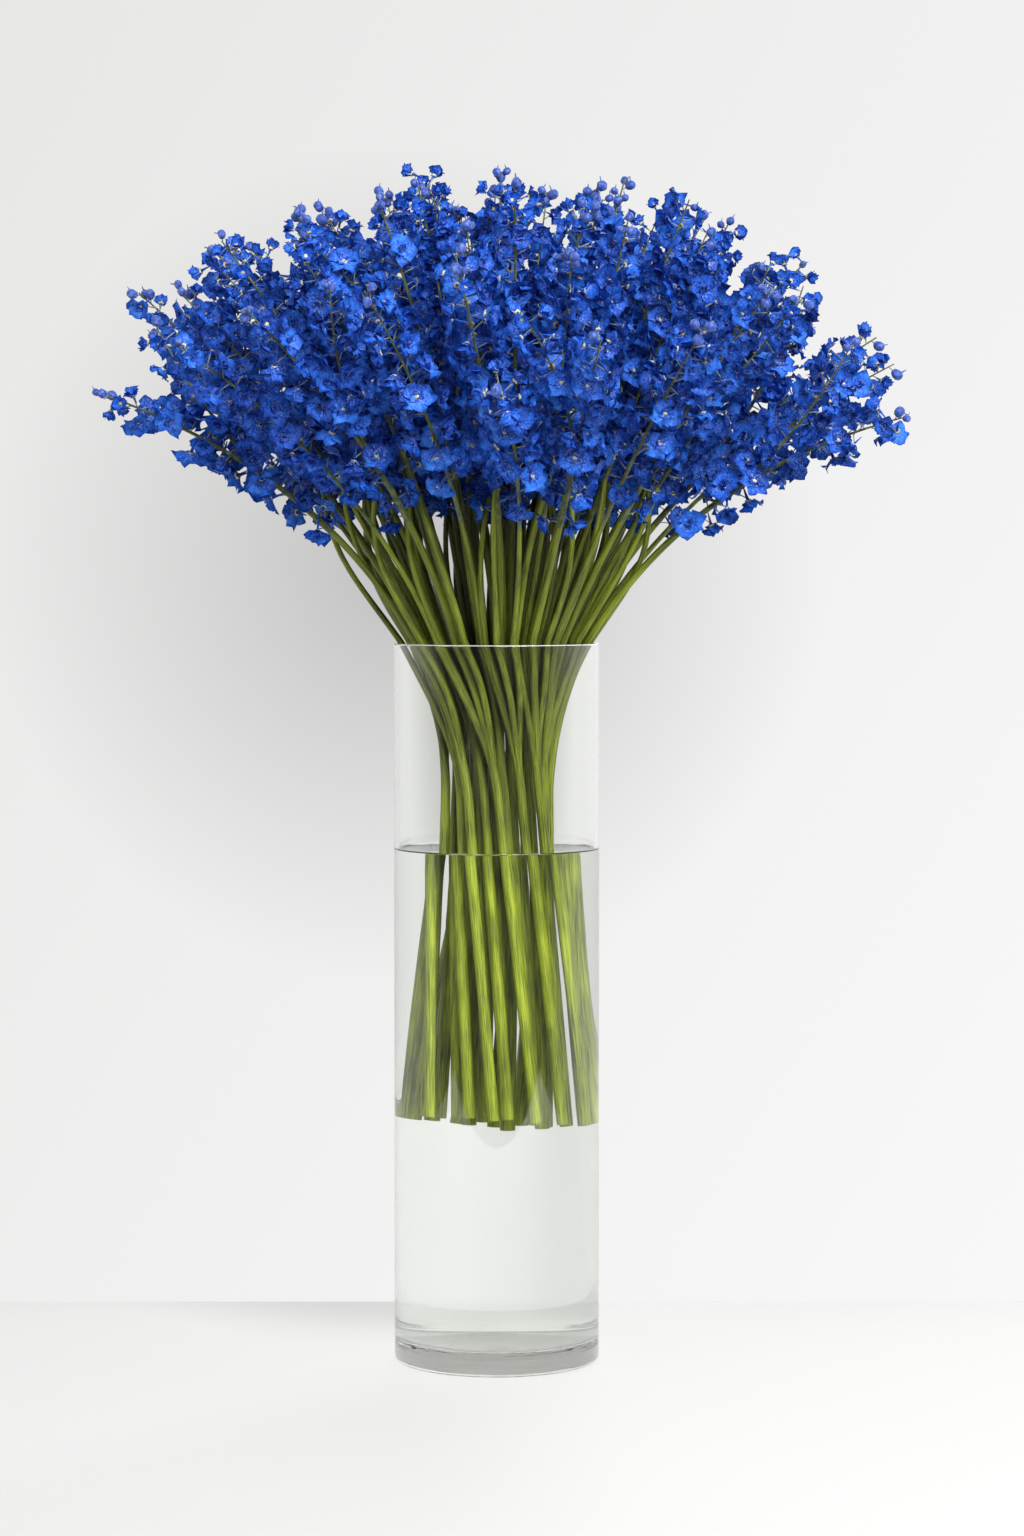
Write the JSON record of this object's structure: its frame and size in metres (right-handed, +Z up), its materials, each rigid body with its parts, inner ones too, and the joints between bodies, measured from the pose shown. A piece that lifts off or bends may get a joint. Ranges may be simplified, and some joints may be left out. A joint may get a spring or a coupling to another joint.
{
  "type": "larkspur flower bunch in a glass cylinder vase",
  "caption": "Bunch of blue larkspur flower spikes on long green stems, fanned out over the rim of a tall clear glass cylinder vase part filled with water.",
  "frame": {"origin": "centre of the vase's flat underside, on the surface that it stands on", "axes": "+Z up along the vase's axis; -Y faces the camera in the picture's view and +X is to its right"},
  "size_m": [0.7621, 0.7474, 1.1521],
  "materials": {
    "clear_glass": "polished",
    "water": "polished",
    "stem_green": "satin",
    "petal_blue": "matte"
  },
  "bodies": {
    "root": {"vase": "clear_glass", "water": "water", "stem_01": "stem_green", "stem_02": "stem_green", "stem_03": "stem_green", "stem_04": "stem_green", "stem_05": "stem_green", "stem_06": "stem_green", "stem_07": "stem_green", "stem_08": "stem_green", "stem_09": "stem_green", "stem_10": "stem_green", "stem_11": "stem_green", "stem_12": "stem_green", "stem_13": "stem_green", "stem_14": "stem_green", "stem_15": "stem_green", "stem_16": "stem_green", "stem_17": "stem_green", "stem_18": "stem_green", "stem_19": "stem_green", "stem_20": "stem_green", "stem_21": "stem_green", "stem_22": "stem_green", "stem_23": "stem_green", "stem_24": "stem_green", "stem_25": "stem_green", "stem_26": "stem_green", "stem_27": "stem_green", "stem_28": "stem_green", "stem_29": "stem_green", "spike_01": "petal_blue", "spike_02": "petal_blue", "spike_03": "petal_blue", "spike_04": "petal_blue", "spike_05": "petal_blue", "spike_06": "petal_blue", "spike_07": "petal_blue", "spike_08": "petal_blue", "spike_09": "petal_blue", "spike_10": "petal_blue", "spike_11": "petal_blue", "spike_12": "petal_blue", "spike_13": "petal_blue", "spike_14": "petal_blue", "spike_15": "petal_blue", "spike_16": "petal_blue", "spike_17": "petal_blue", "spike_18": "petal_blue", "spike_19": "petal_blue", "spike_20": "petal_blue", "spike_21": "petal_blue", "spike_22": "petal_blue", "spike_23": "petal_blue", "spike_24": "petal_blue", "spike_25": "petal_blue", "spike_26": "petal_blue", "spike_27": "petal_blue", "spike_28": "petal_blue", "spike_29": "petal_blue"}
  },
  "joints": []
}
